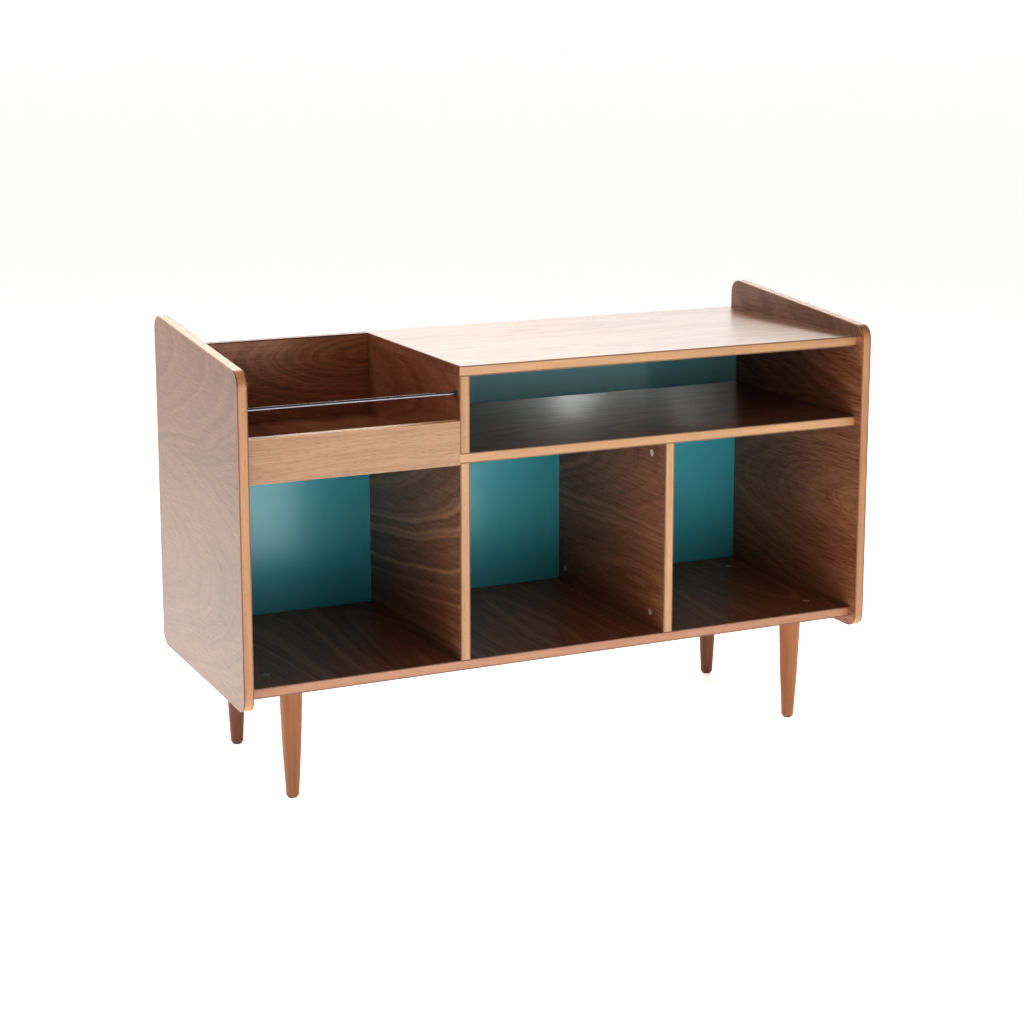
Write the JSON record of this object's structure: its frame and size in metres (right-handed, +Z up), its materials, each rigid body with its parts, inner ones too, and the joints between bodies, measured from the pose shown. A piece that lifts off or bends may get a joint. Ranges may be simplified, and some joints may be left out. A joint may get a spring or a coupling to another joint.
{
  "type": "tv stand",
  "caption": "Low walnut stand on turned legs with an open record bin and rod, a wide shelf under the top, lower bays with a painted back, and side panels that slope down to the front.",
  "frame": {"origin": "centre of the footprint on the floor under the glides", "axes": "+X to the right along the width as seen from the front, +Y from the front to the back, +Z up"},
  "size_m": [1.2, 0.46, 0.7808],
  "materials": {
    "walnut_veneer": "satin lacquered walnut veneer",
    "edge_wood": "satin lacquered pale solid edging",
    "leg_wood": "satin stained turned wood",
    "teal_paint": "satin teal painted board",
    "dark_steel": "dark grey metal rod",
    "dark_plastic": "dark moulded plastic",
    "zinc_steel": "bright zinc plated steel",
    "dowel_wood": "plain beech"
  },
  "bodies": {
    "case": {"back_screws": "zinc_steel", "bin_back": "walnut_veneer", "bin_back_edging": "walnut_veneer", "bin_floor": "walnut_veneer", "bin_front": "walnut_veneer", "bin_front_edging": "edge_wood", "bottom_edging": "edge_wood", "bottom_panel": "walnut_veneer", "cam_bolts_long": "zinc_steel", "cam_bolts_short": "zinc_steel", "cam_nuts": "zinc_steel", "centre_divider": "walnut_veneer", "centre_divider_edging": "edge_wood", "dowels": "dowel_wood", "glide_front_left": "dark_plastic", "glide_front_right": "dark_plastic", "glide_rear_left": "dark_plastic", "glide_rear_right": "dark_plastic", "left_divider": "walnut_veneer", "left_divider_edging": "edge_wood", "left_side_edging": "edge_wood", "left_side_panel": "walnut_veneer", "leg_front_left": "leg_wood", "leg_front_right": "leg_wood", "leg_inserts": "zinc_steel", "leg_rear_left": "leg_wood", "leg_rear_right": "leg_wood", "leg_studs": "zinc_steel", "lower_back": "teal_paint", "mid_shelf": "walnut_veneer", "mid_shelf_edging": "edge_wood", "right_side_edging": "edge_wood", "right_side_panel": "walnut_veneer", "rod_socket_left": "dark_plastic", "rod_socket_right": "dark_plastic", "top_edging": "edge_wood", "top_end_edging": "walnut_veneer", "top_panel": "walnut_veneer", "upper_back": "teal_paint", "upper_divider": "walnut_veneer", "upper_divider_edging": "edge_wood"},
    "rod": {"record_rod": "dark_steel"}
  },
  "joints": [
    {"name": "rod_turn", "type": "hinge", "parent": "case", "child": "rod", "pos_m": [-0.394, -0.192, 0.678], "axis": [1, 0, 0], "continuous": true}
  ]
}
